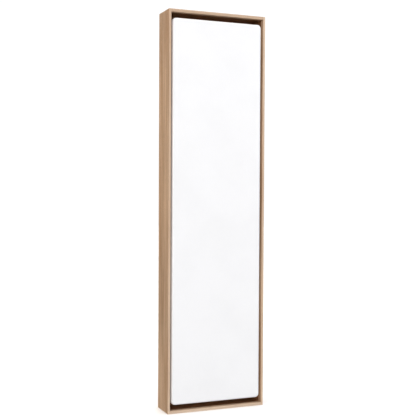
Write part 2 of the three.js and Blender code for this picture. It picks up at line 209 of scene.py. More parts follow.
class Finish(Nodes):
    """A node material being built on one Principled shader."""

    def __init__(self, name, **surface):
        self.material = bpy.data.materials.new(name)
        self.material.use_nodes = True
        super().__init__(self.material.node_tree)
        self.shader = self.tree.nodes["Principled BSDF"]
        for socket, value in surface.items():
            self.shader.inputs[socket.replace("_", " ")].default_value = value

    def tint(self, share, colour, strength):
        """The colour multiplied by a grey that goes from 1 down to 1 - strength as share goes to 1."""
        grey = self.math("SUBTRACT", 1.0, self.math("MULTIPLY", share, strength))
        return self.vector("MULTIPLY", colour, self.join(grey, grey, grey))

    def object_place(self):
        return self.node("TexCoord", {}, output="Object")

    def colour(self, value):
        self.put(self.shader.inputs["Base Color"], value)

    def roughness(self, value):
        self.put(self.shader.inputs["Roughness"], value)

    def bump(self, height, distance, strength=1.0):
        inputs = {"Height": height, "Distance": distance, "Strength": strength}
        self.put(self.shader.inputs["Normal"], self.node("Bump", inputs))


def grain_space(finish, along, seed):
    """The object's coordinates turned so that the grain runs along Z, and moved on by the seed."""
    turn = (0, math.pi / 2, 0) if along == "x" else (0, 0, 0)
    shift = (0.37 * seed, 0.61 * seed, 1.7 * seed)
    inputs = {"Vector": finish.object_place(), "Rotation": turn, "Location": shift}
    return finish.node("Mapping", inputs)


def growth_rings(finish, space, pith, ring, warp):
    """0 to 1 across each growth ring, from pale early wood to dark late wood, round the pith."""
    slow = finish.vector("MULTIPLY", space, (1, 1, 0.06))
    centred = finish.vector("SUBTRACT", space, pith)
    x, y, _ = finish.split(centred)
    radius = finish.length(finish.join(x, y, 0.0))
    wander = finish.math("MULTIPLY", finish.noise(slow, 14, 3), warp)
    phase = finish.math("FRACT", finish.math("DIVIDE", finish.math("ADD", radius, wander), ring))
    late = finish.math("POWER", phase, 1.8)
    return finish.math("MULTIPLY", late, finish.steps(phase, 0.86, 1.0, 1.0, 0.0))


def oak(name, along, seed, painted_light):
    """Pale oak with straight grain and open pores, with painted shade as a dark brown inside the channel, a
    painted sheen on the front edge, and painted light on the bottom rail.
    """
    finish = Finish(name, Specular_IOR_Level=0.25)
    space = grain_space(finish, along, seed)
    pith = (0.37 * seed + 0.10, 0.61 * seed + 0.16, 0.0)
    rings = growth_rings(finish, space, pith, 2.3 * MM, 9 * MM)
    fibres = finish.noise(finish.vector("MULTIPLY", space, (1, 1, 0.012)), 520, 4, 0.6)
    streaks = finish.noise(finish.vector("MULTIPLY", space, (1, 1, 0.05)), 60, 3, 0.55)
    clouds = finish.noise(finish.vector("MULTIPLY", space, (1, 1, 0.25)), 9, 2)
    pore_noise = finish.noise(finish.vector("MULTIPLY", space, (1, 1, 0.045)), 1500, 1)
    early = finish.math("SUBTRACT", 1.0, rings)
    pores = finish.math("MULTIPLY", finish.steps(pore_noise, 0.58, 0.68), early)
    flecks = finish.steps(finish.noise(finish.vector("MULTIPLY", space, (1, 1, 0.16)), 210, 2), 0.62, 0.72)

    colour = finish.mix(finish.steps(streaks, 0.3, 0.7), srgb(229, 197, 166), srgb(198, 160, 127))
    colour = finish.tint(rings, colour, 0.20)
    colour = finish.tint(finish.steps(fibres, 0.35, 0.7), colour, 0.13)
    colour = finish.tint(finish.steps(clouds, 0.35, 0.7), colour, 0.14)
    colour = finish.tint(pores, colour, 0.34)
    colour = finish.mix(finish.math("MULTIPLY", flecks, 0.22), colour, srgb(226, 194, 160))
    _, depth, _ = finish.split(finish.object_place())
    # Painted sheen: the front edge faces are drawn paler, as where they catch the light.
    edge = finish.steps(depth, FRAME_FRONT + 0.2 * MM, FRAME_FRONT + 0.9 * MM, EDGE_PAINTED_SHEEN, 0.0)
    # Painted light on the paler sides, added to the painted sheen, both mixed toward a pale tone.
    colour = finish.mix(finish.math("ADD", edge, painted_light), colour, srgb(238, 222, 205))
    # Painted shade: the channel's inner walls and ledge faces turn dark brown, where shade falls deep in the
    # recess.
    colour = finish.mix(painted_shade_mask(finish, fibres), colour, painted_channel_shade(finish, fibres, rings))
    finish.colour(colour)
    finish.roughness(finish.steps(fibres, 0.2, 0.8, 0.42, 0.58))
    height = finish.math("SUBTRACT", finish.math("MULTIPLY", fibres, 0.35), pores)
    finish.bump(height, 0.12 * MM)
    return finish.material


def painted_channel_shade(finish, fibres, rings):
    """Painted shade for the deep channel: a dark brown that still lets the grain show a little."""
    colour = finish.mix(finish.steps(fibres, 0.3, 0.7), srgb(152, 104, 66), srgb(128, 86, 54))
    return finish.tint(rings, colour, 0.2)


def painted_shade_mask(finish, fibres):
    """1 on the faces painted dark as painted shade: the inner walls behind the lip, and the ledges' front
    faces.
    """
    x, y, z = finish.split(finish.object_place())
    slack = 0.3 * MM
    bleed = finish.math("MULTIPLY", finish.math("SUBTRACT", fibres, 0.5), 1.2 * MM)
    across = finish.math("LESS_THAN", finish.math("ABSOLUTE", x), -CHANNEL["x"] + slack)
    above = finish.math("GREATER_THAN", z, CHANNEL["z"] - slack)
    below = finish.math("LESS_THAN", z, 2 * MIDDLE - CHANNEL["z"] + slack)
    deep = finish.math("GREATER_THAN", finish.math("ADD", y, bleed), FRAME_FRONT + LIP)
    shallow = finish.math("LESS_THAN", y, CHANNEL["ledge"] + slack)
    mask = finish.math("MULTIPLY", across, finish.math("MULTIPLY", above, below))
    return finish.math("MULTIPLY", mask, finish.math("MULTIPLY", deep, shallow))


def pine(name, along, seed):
    """Planed pine: wide honey-coloured late wood on a creamy ground."""
    finish = Finish(name)
    space = grain_space(finish, along, seed)
    pith = (0.37 * seed - 0.03, 0.61 * seed + 0.05, 0.0)
    rings = growth_rings(finish, space, pith, 4.2 * MM, 16 * MM)
    fibres = finish.noise(finish.vector("MULTIPLY", space, (1, 1, 0.015)), 700, 3, 0.6)
    clouds = finish.noise(finish.vector("MULTIPLY", space, (1, 1, 0.2)), 12, 2)
    colour = finish.mix(rings, srgb(236, 213, 170), srgb(211, 168, 112))
    colour = finish.tint(finish.steps(fibres, 0.35, 0.7), colour, 0.10)
    colour = finish.tint(finish.steps(clouds, 0.35, 0.7), colour, 0.08)
    finish.colour(colour)
    finish.roughness(finish.steps(fibres, 0.2, 0.8, 0.55, 0.72))
    finish.bump(finish.math("ADD", fibres, finish.math("MULTIPLY", rings, 0.5)), 0.08 * MM)
    return finish.material


def birch_ply(name, along, seed):
    """Thin birch plywood: pale faces, and edges that show the plies in turn."""
    finish = Finish(name)
    space = grain_space(finish, along, seed)
    _, depth, _ = finish.split(finish.object_place())
    ply = finish.math("FRACT", finish.math("DIVIDE", depth, 3.0 * MM))
    crossed = finish.steps(ply, 0.45, 0.55)
    fibres = finish.noise(finish.vector("MULTIPLY", space, (1, 1, 0.05)), 500, 3, 0.6)
    colour = finish.mix(crossed, srgb(224, 196, 150), srgb(181, 141, 93))
    colour = finish.tint(finish.steps(fibres, 0.35, 0.75), colour, 0.2)
    finish.colour(colour)
    finish.roughness(finish.steps(fibres, 0.2, 0.8, 0.6, 0.8))
    finish.bump(fibres, 0.06 * MM)
    return finish.material


def weave(finish, pitch, wobble):
    """Height of a plain weave, from the cloth's own flat coordinates."""
    flat = finish.node("Attribute", {}, output="Vector", attribute_name="cloth")
    drift = finish.node("TexNoise", {"Vector": flat, "Scale": 260.0, "Detail": 2.0}, output="Color")
    drift = finish.vector("SUBTRACT", drift, (0.5, 0.5, 0.5))
    drift = finish.vector("MULTIPLY", drift, (wobble, wobble, wobble))
    across, along, _ = finish.split(finish.vector("ADD", flat, drift))
    turns = math.pi / pitch
    warp = finish.math("SINE", finish.math("MULTIPLY", across, turns))
    weft = finish.math("SINE", finish.math("MULTIPLY", along, turns))
    slub = finish.noise(finish.vector("MULTIPLY", flat, (1, 0.12, 1)), 420, 2)
    crossing = finish.math("MULTIPLY", warp, weft)
    return finish.math("ADD", finish.math("MULTIPLY", crossing, 0.5), slub)


def primed_cotton():
    """Cotton duck under white acrylic primer, which fills the weave a little and leaves faint brush marks."""
    finish = Finish("primed_cotton", Specular_IOR_Level=0.2)
    threads = weave(finish, THREAD_PITCH, 0.35 * MM)
    flat = finish.node("Attribute", {}, output="Vector", attribute_name="cloth")
    brushed = finish.noise(finish.vector("MULTIPLY", flat, (1, 0.12, 1)), 90, 3)
    patches = finish.noise(flat, 6, 3)
    colour = finish.mix(finish.steps(patches, 0.3, 0.7), srgb(248, 249, 252), srgb(245, 246, 249))
    colour = finish.tint(finish.steps(threads, 0.5, 0.0), colour, 0.035)
    finish.colour(colour)
    finish.roughness(finish.steps(patches, 0.3, 0.7, 0.74, 0.86))
    finish.bump(finish.math("ADD", threads, finish.math("MULTIPLY", brushed, 0.5)), 0.16 * MM, 0.75)
    return finish.material


def raw_cotton():
    """The unprimed back of the cotton duck, with its threads and small dark seed specks."""
    finish = Finish("raw_cotton", Sheen_Weight=0.25, Sheen_Roughness=0.5)
    threads = weave(finish, THREAD_PITCH, 0.45 * MM)
    flat = finish.node("Attribute", {}, output="Vector", attribute_name="cloth")
    specks = finish.steps(finish.noise(flat, 700, 1), 0.74, 0.8)
    colour = finish.mix(finish.steps(threads, 0.0, 1.0), srgb(201, 187, 160), srgb(233, 224, 203))
    finish.colour(finish.mix(finish.math("MULTIPLY", specks, 0.6), colour, srgb(120, 95, 66)))
    finish.roughness(finish.steps(threads, 0.0, 1.0, 0.95, 0.85))
    finish.bump(threads, 0.3 * MM)
    return finish.material


def zinc_steel():
    """Bright zinc plate with a faint blue and straw bloom and fine scuffs."""
    finish = Finish("zinc_steel", Metallic=1.0)
    place = finish.object_place()
    bloom = finish.noise(place, 260, 3)
    scuffs = finish.noise(finish.vector("MULTIPLY", place, (1, 1, 0.2)), 2600, 3, 0.7)
    colour = finish.mix(finish.steps(bloom, 0.35, 0.65), srgb(205, 210, 216), srgb(214, 209, 196))
    colour = finish.tint(finish.steps(scuffs, 0.5, 0.8), colour, 0.18)
    finish.colour(colour)
    finish.roughness(finish.steps(scuffs, 0.25, 0.75, 0.22, 0.42))
    finish.bump(scuffs, 0.02 * MM)
    return finish.material


def rubber():
    """Dark grey moulded rubber with a fine matte skin and a little dust."""
    finish = Finish("rubber", Specular_IOR_Level=0.4)
    place = finish.object_place()
    skin = finish.noise(place, 2200, 3, 0.65)
    dust = finish.noise(place, 160, 3)
    colour = finish.mix(finish.steps(dust, 0.45, 0.75), srgb(44, 44, 46), srgb(70, 69, 67))
    finish.colour(colour)
    finish.roughness(finish.steps(skin, 0.3, 0.7, 0.72, 0.9))
    finish.bump(skin, 0.05 * MM)
    return finish.material


# ---- mesh helpers ----
def piece(name, points, faces, materials, body=ROOT, replaced=(), smooth=True):
    """A new object from points and faces, which rides on a body and may stand for CAD nodes."""
    mesh = bpy.data.meshes.new(name)
    mesh.from_pydata([tuple(point) for point in points], [], faces)
    for material in materials:
        mesh.materials.append(material)
    mesh.polygons.foreach_set("use_smooth", [smooth] * len(mesh.polygons))
    obj = bpy.data.objects.new(name, mesh)
    bpy.context.scene.collection.objects.link(obj)
    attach(obj, body)
    if replaced:
        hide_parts(*replaced)
    return obj


def grid_faces(rows, columns, closed=False):
    """Quads between rows of points. A closed grid's last column meets its first."""
    faces = []
    for row in range(rows - 1):
        for column in range(columns if closed else columns - 1):
            here = row * columns + column
            ahead = row * columns + (column + 1) % columns
            faces.append((here, ahead, ahead + columns, here + columns))
    return faces


def centre(node):
    low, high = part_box(node)
    return (low + high) / 2


def smooth_by_angle(obj, degrees=35):
    """Keeps edges sharper than the angle crisp."""
    mesh = obj.data
    edit = bmesh.new()
    edit.from_mesh(mesh)
    for edge in edit.edges:
        if len(edge.link_faces) == 2:
            edge.smooth = edge.calc_face_angle() < math.radians(degrees)
    edit.to_mesh(mesh)
    edit.free()


# ---- the cloth ----
def outline(inset):
    """The canvas's rounded outline, drawn in by an inset, anticlockwise from the front.

    Each point is (x, z, normal x, normal z).
    """
    radius = max(CORNER_RADIUS - inset, LEAST_RADIUS)
    x, z = HALF_WIDTH - inset - radius, HALF_HEIGHT - inset - radius
    corners = [(x, z), (-x, z), (-x, -z), (x, -z)]
    points = []
    for corner, (cx, cz) in enumerate(corners):
        for step in range(STEPS["arc"] + 1):
            angle = (corner + step / STEPS["arc"]) * math.pi / 2
            nx, nz = math.cos(angle), math.sin(angle)
            points.append((cx + radius * nx, cz + radius * nz, nx, nz))
        count = STEPS["short" if corner % 2 == 0 else "long"]
        last_x, last_z, nx, nz = points[-1]
        next_x, next_z = corners[(corner + 1) % 4]
        next_x, next_z = next_x + radius * nx, next_z + radius * nz
        for step in range(1, count):
            share = step / count
            x_now = last_x + (next_x - last_x) * share
            z_now = last_z + (next_z - last_z) * share
            points.append((x_now, z_now, nx, nz))
    return points


def cloth_rings():
    """Rings from the face to the flap: (inset, depth, distance from the front edge along the cloth)."""
    rings = [(inset * MM, SHEET_FRONT, 0.0) for inset in FRONT_RINGS]
    quarter = math.pi / 2
    for step in range(STEPS["edge"] + 1):
        angle = quarter * step / STEPS["edge"]
        inset = EDGE_RADIUS * (1 - math.sin(angle))
        rings.append((inset, SHEET_FRONT + EDGE_RADIUS * (1 - math.cos(angle)), EDGE_RADIUS * angle))
    run = EDGE_RADIUS * quarter
    start, end = SHEET_FRONT + EDGE_RADIUS, SHEET_BACK - BACK_EDGE_RADIUS
    for step in range(1, STEPS["side"] + 1):
        depth = (end - start) * step / STEPS["side"]
        rings.append((0.0, start + depth, run + depth))
    run += end - start
    for step in range(1, STEPS["back_edge"] + 1):
        angle = quarter * step / STEPS["back_edge"]
        inset = BACK_EDGE_RADIUS * (1 - math.cos(angle))
        rings.append((inset, end + BACK_EDGE_RADIUS * math.sin(angle), run + BACK_EDGE_RADIUS * angle))
    run += BACK_EDGE_RADIUS * quarter
    for step in range(1, STEPS["flap"] + 1):
        across = (FLAP - BACK_EDGE_RADIUS) * step / STEPS["flap"]
        rings.append((BACK_EDGE_RADIUS + across, SHEET_BACK, run + across))
    return rings


def smoothstep(value, low, high):
    share = min(max((value - low) / (high - low), 0.0), 1.0)
    return share * share * (3 - 2 * share)


def tuck_rise(x, nz, depth):
    """How far the folded corner under the cloth lifts it on the top and bottom sides."""
    from_corner = HALF_WIDTH - abs(x)
    if abs(nz) < 0.999 or from_corner < TUCK["start"]:
        return 0.0
    under = smoothstep(depth + TUCK["start"] - from_corner, 0.0, TUCK["fade"])
    return TUCK["rise"] * under * smoothstep(depth, 0.5 * MM, 8 * MM)


def fold_rise(x, z):
    """How far the folded corner's extra layer lifts the top and bottom flaps, up to the diagonal."""
    from_side, from_end = HALF_WIDTH - abs(x), HALF_HEIGHT - abs(z)
    if from_side < from_end - 0.01 * MM:
        return 0.0
    reach = SHEET_BACK - SHEET_FRONT + TUCK["start"]
    under = smoothstep(reach - from_side, 0.0, TUCK["fade"])
    return CLOTH * under * smoothstep(from_end, FOLD["from"], FOLD["to"])


def cloth_point(ring, spot):
    """A point of the cloth, with the small unevenness that hand stretching leaves."""
    inset, y, run = ring
    x, z, nx, nz = spot
    depth = y - SHEET_FRONT
    wave = noise.noise(Vector((x * 14, z * 14, 3.1)))
    if inset > EDGE_RADIUS and depth == 0.0:  # the taut face
        return (x, y + 0.10 * MM * (1 + wave) * smoothstep(inset, EDGE_RADIUS, 20 * MM), MIDDLE + z)
    along = z if abs(nx) > abs(nz) else x
    pull = math.cos(2 * math.pi * along / PUCKER["pitch"])
    share = smoothstep(depth, 20 * MM, SHEET_BACK - SHEET_FRONT) * (1 if inset < 2 * MM else 0.6)
    off = PUCKER["depth"] * share * (pull - 1) * 0.5 + tuck_rise(x, nz, depth) * (inset < 0.5 * MM)
    if y >= SHEET_BACK - 1e-9:
        edge = smoothstep(inset, FLAP * 0.6, FLAP)
        fray = FRAY * noise.noise(Vector((x * 90, z * 90, 7.7))) * edge
        lift = off * 0.8 * (1 - edge) + fold_rise(x, z)
        return (x + nx * fray, y + lift, MIDDLE + z + nz * fray)
    return (x + nx * off, y, MIDDLE + z + nz * off)


def cloth_sheet(materials):
    rings = cloth_rings()
    points, flat = [], []
    edge_outline = outline(EDGE_RADIUS)
    for ring in rings:
        for spot, edge_spot in zip(outline(ring[0]), edge_outline):
            points.append(cloth_point(ring, spot))
            base = spot if ring[2] == 0.0 else edge_spot
            flat.append((base[0] + spot[2] * ring[2], base[1] + spot[3] * ring[2], 0.0))
    columns = len(edge_outline)
    faces = [tuple(reversed(face)) for face in grid_faces(len(rings), columns, closed=True)]
    faces.append(tuple(range(columns)))
    obj = piece("canvas_cloth", points, faces, materials, replaced=["canvas_sheet"])
    attribute = obj.data.attributes.new("cloth", "FLOAT_VECTOR", "POINT")
    attribute.data.foreach_set("vector", [number for place in flat for number in place])
    thick = obj.modifiers.new("thickness", "SOLIDIFY")
    thick.thickness = CLOTH
    thick.offset = -1
    thick.material_offset = 1
    thick.material_offset_rim = 1
    return obj


# ---- staples ----
def ribbon_path(path, width_axis, width, thick):
    """A flat wire of rectangular section along a path in the plane across width_axis."""
    points = []
    half_width = width_axis * (width / 2)
    for i, place in enumerate(path):
        before, after = path[max(i - 1, 0)], path[min(i + 1, len(path) - 1)]
        heading = (after - before).normalized()
        out = heading.cross(width_axis) * (thick / 2)
        points += [place + half_width + out, place - half_width + out]
        points += [place - half_width - out, place + half_width - out]
    faces = grid_faces(len(path), 4, closed=True)
    last = 4 * (len(path) - 1)
    faces += [(3, 2, 1, 0), (last, last + 1, last + 2, last + 3)]
    return points, faces


def staple_path():
    """A staple's middle line, in the plane of X and Y, with its crown along X and its legs along -Y."""
    half, bend = STAPLE["crown"] / 2, STAPLE["bend"]
    path = [Vector((-half, -STAPLE["leg"], 0))]
    for side, first in ((-1, math.pi), (1, math.pi / 2)):
        for step in range(6):
            angle = first - step * math.pi / 10
            x = side * (half - bend) + bend * math.cos(angle)
            path.append(Vector((x, bend * (math.sin(angle) - 1), 0)))
    path.append(Vector((half, -STAPLE["leg"], 0)))
    return path


def staple_spots():
    """(x, z, turn) of each staple: one row on each flap, and one across each corner's fold."""
    spots = []
    for sign in (-1, 1):
        for upright in (True, False):
            half_along, half_across = (HALF_HEIGHT, HALF_WIDTH) if upright else (HALF_WIDTH, HALF_HEIGHT)
            across = sign * (half_across - STAPLE["inset"])
            reach = half_along - 2 * STAPLE["inset"]
            count = round(2 * reach / PUCKER["pitch"]) + 1
            for i in range(count):
                along = -reach + 2 * reach * i / (count - 1) + rng.uniform(-2, 2) * MM
                jitter = rng.uniform(-0.6, 0.6) * MM
                turn = rng.uniform(-0.16, 0.16) + (math.pi / 2 if upright else 0)
                place = (across + jitter, along) if upright else (along, across + jitter)
                spots.append((*place, turn))
    for sx in (-1, 1):
        for sz in (-1, 1):
            turn = -sx * sz * math.pi / 4 + rng.uniform(-0.1, 0.1)
            inset = STAPLE["corner_inset"]
            spots.append((sx * (HALF_WIDTH - inset), sz * (HALF_HEIGHT - inset), turn))
    return spots


def staples(material):
    points, faces = [], []
    path = staple_path()
    one, one_faces = ribbon_path(path, Vector((0, 0, 1)), STAPLE["width"], STAPLE["thick"])
    for x, z, turn in staple_spots():
        y = SHEET_BACK + STAPLE["thick"] / 2 + fold_rise(x, z)
        place = Matrix.Translation((x, y, MIDDLE + z)) @ Matrix.Rotation(turn, 4, "Y")
        start = len(points)
        points += [place @ point for point in one]
        faces += [tuple(start + i for i in face) for face in one_faces]
    obj = piece("staples", points, faces, [material], smooth=False)
    soften(obj, 0.12 * MM, 2)
    return obj


def soften(obj, width, segments, angle=35):
    """Rounds an object's sharp edges with a bevel modifier."""
    bevel = obj.modifiers.new("eased_edges", "BEVEL")
    bevel.width = width
    bevel.segments = segments
    bevel.limit_method = "ANGLE"
    bevel.angle_limit = math.radians(angle)
    bevel.harden_normals = False
    bevel.use_clamp_overlap = True


# ---- screws ----
def screw_mesh(name, rows, recess, material):
    """A screw along Y with its head at +Y, from rows of (radius, y, thread height), with a cross recess."""
    columns, pitch = 32, 1.8 * MM
    points = [Vector((0, rows[0][1], 0))]
    for radius, y, thread in rows:
        for column in range(columns):
            share = column / columns
            phase = (y / pitch + share) % 1.0
            reach = radius + thread * (1 - abs(2 * phase - 1)) ** 1.5
            angle = 2 * math.pi * share
            points.append(Vector((reach * math.cos(angle), y, reach * math.sin(angle))))
    points.append(Vector((0, rows[-1][1], 0)))
    top = len(points) - 1
    faces = [tuple(1 + i for i in reversed(face)) for face in grid_faces(len(rows), columns, closed=True)]
    last = 1 + (len(rows) - 1) * columns
    for column in range(columns):
        ahead = (column + 1) % columns
        faces.append((0, 1 + column, 1 + ahead))
        faces.append((top, last + ahead, last + column))
    mesh = bpy.data.meshes.new(name)
    mesh.from_pydata([tuple(point) for point in points], [], faces)
    body = bpy.data.objects.new(name, mesh)
    cutter = cross_cutter(name + "_cutter", rows[-1][1], **recess)
    for obj in (body, cutter):
        bpy.context.scene.collection.objects.link(obj)
    cut = body.modifiers.new("recess", "BOOLEAN")
    cut.object = cutter
    cut.operation = "DIFFERENCE"
    cut.solver = "EXACT"
    bpy.context.view_layer.update()
    graph = bpy.context.evaluated_depsgraph_get()
    result = bpy.data.meshes.new_from_object(body.evaluated_get(graph))
    result.materials.clear()
    result.materials.append(material)
    for obj in (body, cutter):
        bpy.data.objects.remove(obj)
    return result


def cross_cutter(name, top, reach, half_width, depth):
    """A tapered cross that ends above the head, to be cut out of it."""
    quarter = [(reach, -half_width), (reach, half_width), (half_width, half_width)]
    points = []
    for y, share in ((top - depth, 0.45), (top + depth, 1.55)):
        for turn in range(4):
            angle = turn * math.pi / 2
            for x, z in quarter:
                px = (x * math.cos(angle) - z * math.sin(angle)) * share
                pz = (x * math.sin(angle) + z * math.cos(angle)) * share
                points.append((px, y, pz))
    count = len(points) // 2
    faces = [tuple(reversed(face)) for face in grid_faces(2, count, closed=True)]
    faces += [tuple(range(count)), tuple(reversed(range(count, 2 * count)))]
    mesh = bpy.data.meshes.new(name)
    mesh.from_pydata(points, [], faces)
    mesh.update()
    return bpy.data.objects.new(name, mesh)


def thread_rows(tip, point, top, radius, step=0.18 * MM):
    """Rows of a threaded shank, from its sharp tip to the underside of its head."""
    rows = []
    count = round((top - tip) / step)
    for i in range(count + 1):
        y = tip + (top - tip) * i / count
        taper = min((y - tip) / point, 1.0) ** 0.7
        rows.append((max(radius * 0.68 * taper, 0.02 * MM), y, radius * 0.30 * taper))
    return rows


def countersunk_screw(node, material):
    low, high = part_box(node)
    radius = (high.x - low.x) / 2
    back, tip = high.y, low.y
    seat = back - COUNTERSUNK["head"]
    rows = thread_rows(tip, COUNTERSUNK["point"], seat, COUNTERSUNK["thread"])
    rows += [(COUNTERSUNK["neck"], seat, 0.0), (radius * 0.97, back - 0.35 * MM, 0.0)]
    rows += [(radius, back - 0.1 * MM, 0.0), (radius * 0.98, back, 0.0), (radius * 0.5, back, 0.0)]
    return screw_mesh("countersunk_screw", rows, COUNTERSUNK_CROSS, material)


def pan_screw(node, material):
    low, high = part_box(node)
    radius = (high.x - low.x) / 2
    back, tip = high.y, low.y
    seat = back - PAN["height"]
    rows = thread_rows(tip, PAN["point"], seat, PAN["thread"])
    rows += [(PAN["neck"], seat, 0.0), (radius * 0.96, seat, 0.0), (radius, seat + 0.3 * MM, 0.0)]
    for step in range(7):
        angle = step * math.pi / 12
        dome = (PAN["height"] - PAN["rim"]) * math.sin(angle)
        rows.append((radius * (0.35 + 0.65 * math.cos(angle)), seat + PAN["rim"] + dome, 0.0))
    return screw_mesh("pan_screw", rows, PAN_CROSS, material)


def place_screws(nodes, mesh, suffix):
    """One copy of the screw for each CAD screw, each turned its own way."""
    for node in nodes:
        middle = centre(node)
        copy = mesh.copy()
        turn = Matrix.Rotation(rng.uniform(0, math.pi / 2), 4, "Y")
        copy.transform(Matrix.Translation((middle.x, 0, middle.z)) @ turn)
        obj = bpy.data.objects.new(node + suffix, copy)
        bpy.context.scene.collection.objects.link(obj)
        copy.polygons.foreach_set("use_smooth", [True] * len(copy.polygons))
        smooth_by_angle(obj)
        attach(obj, ROOT)
        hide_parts(node)


# ---- hangers ----
def hanger_strap(hand, material):
    """A steel strip folded in two round the ring's bar, with both ends rounded."""
    low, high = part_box(f"hanger_strap_{hand}")
    layer, columns = STRAP["layer"], STRAP["columns"]
    half_width = (high.x - low.x) / 2
    x = (low.x + high.x) / 2
    pivot = ring_pivot(hand)
    inner, outer = low.y + layer / 2, low.y + layer * 1.5 + STRAP["gap"]
    reach = high.z - pivot.z - layer / 2
    bottom = low.z
    path = [(inner, bottom + (pivot.z - bottom) * i / 24) for i in range(25)]
    last = -math.acos((outer - pivot.y) / reach)
    for step in range(1, 31):
        angle = math.pi + (last - math.pi) * step / 30
        path.append((pivot.y + reach * math.cos(angle), pivot.z + reach * math.sin(angle)))
    meet = path[-1][1]
    path += [(outer, meet + (bottom - meet) * i / 24) for i in range(1, 25)]
    points = []
    for y, z in path:
        into_end = max(half_width - (z - bottom), 0.0)
        width = math.sqrt(max(half_width ** 2 - into_end ** 2, 0.0))
        width = max(width, STRAP["least_half_width"])
        for column in range(columns):
            points.append((x + width * (2 * column / (columns - 1) - 1), y, z))
    faces = grid_faces(len(path), columns)
    replaced = [f"hanger_strap_{hand}"]
    obj = piece(f"hanger_strap_{hand}_plate", points, faces, [material], replaced=replaced)
    thick = obj.modifiers.new("thickness", "SOLIDIFY")
    thick.thickness = layer
    thick.offset = 0
    soften(obj, 0.15 * MM, 2, 50)
    return obj


def ring_pivot(hand):
    """The middle of the ring's straight bar."""
    low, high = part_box(f"hanger_ring_{hand}")
    return Vector(((low.x + high.x) / 2, (low.y + high.y) / 2, high.z - (high.y - low.y) / 2))


def tube(path, radius, sides=16):
    """A closed round wire along a closed path in the plane of X and Z."""
    points = []
    for i, place in enumerate(path):
        heading = (path[(i + 1) % len(path)] - path[i - 1]).normalized()
        out = heading.cross(Vector((0, 1, 0)))
        for side in range(sides):
            angle = 2 * math.pi * side / sides
            across = out * (radius * math.cos(angle))
            points.append(place + across + Vector((0, radius * math.sin(angle), 0)))
    faces = grid_faces(len(path), sides, closed=True)
    last = (len(path) - 1) * sides
    for side in range(sides):
        ahead = (side + 1) % sides
        faces.append((last + side, last + ahead, ahead, side))
    return points, faces


def hanger_ring(hand, material):
    """A D of round wire: a straight bar, two tight bends and a half circle."""
    low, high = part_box(f"hanger_ring_{hand}")
    pivot = ring_pivot(hand)
    wire = (high.y - low.y) / 2 * RING["swell"]
    half = (high.x - low.x) / 2 - wire
    bend, straight = RING["bend"], RING["straight"]
    arcs = [
        (half - bend, -bend, bend, math.pi / 2, 0, 10),
        (0, -straight, half, 0, -math.pi, 48),
        (bend - half, -bend, bend, math.pi, math.pi / 2, 10),
    ]
    path = []
    for cx, cz, radius, first, last, count in arcs:
        for step in range(count + 1):
            angle = first + (last - first) * step / count
            place = Vector((cx + radius * math.cos(angle), 0, cz + radius * math.sin(angle)))
            path.append(pivot + place)
    points, faces = tube(path, wire)
    replaced = [f"hanger_ring_{hand}"]
    return piece(f"hanger_ring_{hand}_wire", points, faces, [material], f"ring_{hand}", replaced=replaced)


# ---- bumpers and joint fasteners ----
def lathe(profile, middle, columns=48):
    """A turned solid whose axis is Y through the middle: (radius, y) rows, closed at both ends."""
    points = [Vector((middle.x, profile[0][1], middle.z))]
    for radius, y in profile:
        for column in range(columns):
            angle = 2 * math.pi * column / columns
            x = middle.x + radius * math.cos(angle)
            z = middle.z + radius * math.sin(angle)
            points.append(Vector((x, y, z)))
    points.append(Vector((middle.x, profile[-1][1], middle.z)))
    walls = grid_faces(len(profile), columns, closed=True)
    faces = [tuple(1 + i for i in reversed(face)) for face in walls]
    last = 1 + (len(profile) - 1) * columns
    for column in range(columns):
        ahead = (column + 1) % columns
        faces.append((0, 1 + column, 1 + ahead))
        faces.append((len(points) - 1, last + ahead, last + column))
    return points, faces


def wall_bumper(hand, material):
    """A rubber foot with a thin skirt, a rounded shoulder and a slightly dished face."""
    low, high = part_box(f"wall_bumper_{hand}")
    radius = (high.x - low.x) / 2
    ease = BUMPER_EASE
    profile = [(radius * 0.9, low.y), (radius, low.y + 0.3 * MM), (radius * 0.95, high.y - ease)]
    for step in range(1, 9):
        angle = step * math.pi / 16
        reach = radius * 0.95 - ease * (1 - math.cos(angle))
        profile.append((reach, high.y - ease * (1 - math.sin(angle))))
    profile += [(radius * 0.55, high.y - 0.1 * MM), (radius * 0.25, high.y - 0.3 * MM)]
    points, faces = lathe(profile, centre(f"wall_bumper_{hand}"))
    replaced = [f"wall_bumper_{hand}"]
    return piece(f"wall_bumper_{hand}_foot", points, faces, [material], replaced=replaced)


def joint_fastener(node, material):
    """A steel strip corrugated in smooth waves, driven in across the joint."""
    low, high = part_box(node)
    middle = (low + high) / 2
    half, count = (high.x - low.x) / 2, FASTENER["steps"]
    points = []
    for i in range(count + 1):
        share = i / count
        x = middle.x + half * (2 * share - 1)
        z = middle.z + FASTENER["amplitude"] * math.cos(2 * math.pi * FASTENER["folds"] * share)
        points += [(x, low.y, z), (x, high.y - 0.02 * MM, z)]
    obj = piece(node + "_strip", points, grid_faces(count + 1, 2), [material], replaced=[node])
    solid = obj.modifiers.new("thickness", "SOLIDIFY")
    solid.thickness = FASTENER["thick"]
    solid.offset = 0
    return obj


# ---- carried-over CAD nodes ----
def dress(node, material, ease):
    """Gives a CAD node its material, and eases its edges without touching its mesh."""
    obj = frame["nodes"][node]
    obj.data.materials.clear()
    obj.data.materials.append(material)
    weld = obj.modifiers.new("weld", "WELD")
    weld.merge_threshold = 0.01 * MM
    flat = obj.modifiers.new("flat_faces", "DECIMATE")
    flat.decimate_type = "DISSOLVE"
    flat.angle_limit = math.radians(1)
    soften(obj, ease, 2)
    return obj


def dress_frame():
    for seed, side in enumerate(SIDES):
        kind, along = ("stile", "z") if side in HANDS else ("rail", "x")
        wood = oak(f"oak_{kind}_{side}", along, seed + 1, PAINTED_LIGHT_SHARE[side])
        dress(f"frame_{kind}_{side}", wood, 0.5 * MM)


